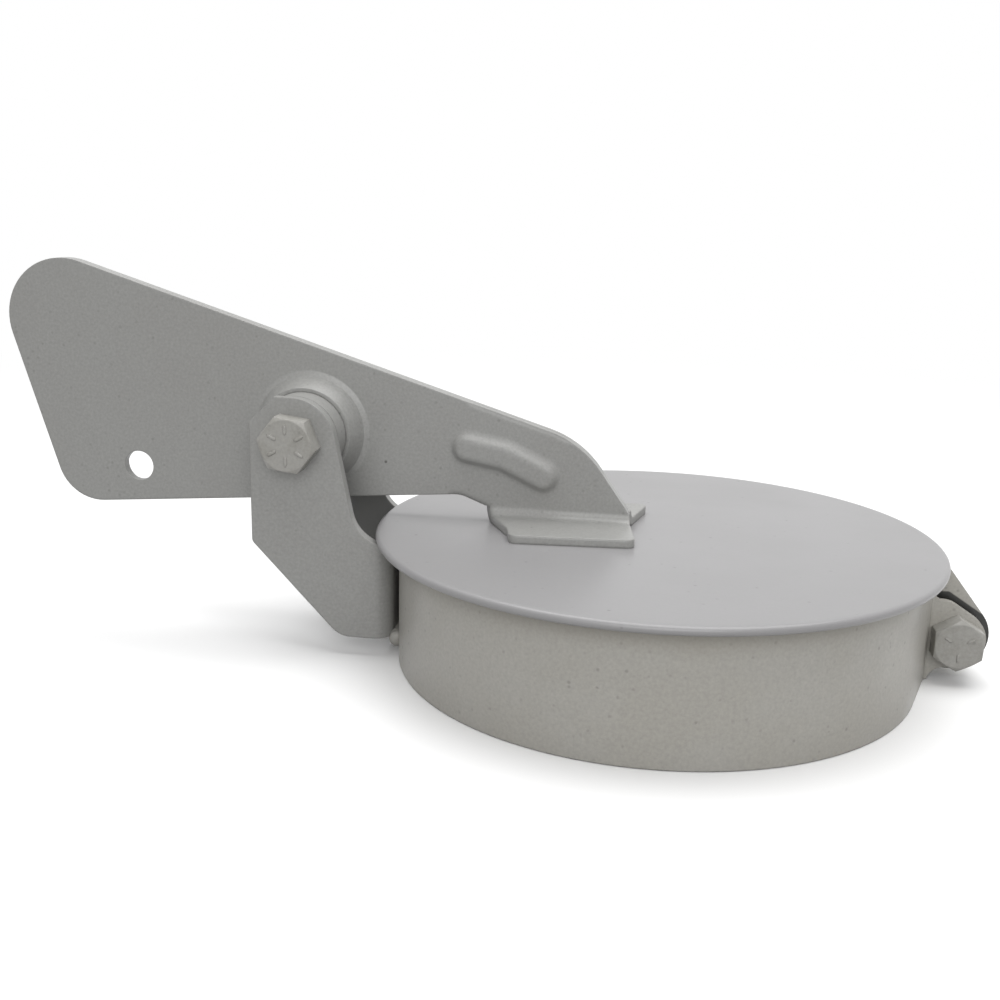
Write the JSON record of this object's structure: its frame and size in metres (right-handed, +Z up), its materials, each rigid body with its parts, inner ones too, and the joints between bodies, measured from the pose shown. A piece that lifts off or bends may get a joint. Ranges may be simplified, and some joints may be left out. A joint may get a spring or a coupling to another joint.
{
  "type": "flue rain cap",
  "caption": "Hinged rain cap for an upright flue: a round flap lid on a counterweight arm, pivoted on a bracket welded to a split clamp collar.",
  "frame": {"origin": "centre of the clamp collar's bottom edge, on the pipe's axis", "axes": "+Z up the pipe; the hinge and the counterweight arm are on the -X side, the clamp on the +X side; -Y is the side that both bolt heads are on"},
  "size_m": [0.2805, 0.1552, 0.1063],
  "materials": {
    "grey_paint": "semi-gloss light grey paint",
    "lid_paint": "glossy light grey paint",
    "bolt_paint": "the same grey paint, sprayed over the bolt heads",
    "bolt_steel": "dull plated steel",
    "bushing_steel": "plain steel"
  },
  "bodies": {
    "base": {"collar_band": "grey_paint", "hinge_bracket": "grey_paint", "bracket_welds": "grey_paint", "clamp_bolt": "bolt_paint", "clamp_lock_washer": "bolt_steel", "clamp_nut": "bolt_steel", "pivot_bolt": "bolt_paint", "pivot_lock_washer": "bolt_steel", "pivot_nut": "bolt_steel", "pivot_bushing": "bushing_steel"},
    "flap": {"pivot_hub": "grey_paint", "lid_disc": "lid_paint", "arm_near_plate": "grey_paint", "arm_far_plate": "grey_paint"}
  },
  "joints": [
    {"name": "flap_hinge", "type": "hinge", "parent": "base", "child": "flap", "pos_m": [-0.0992, 0, 0.0602], "axis": [0, -1, 0], "range_deg": [0, 88]}
  ]
}
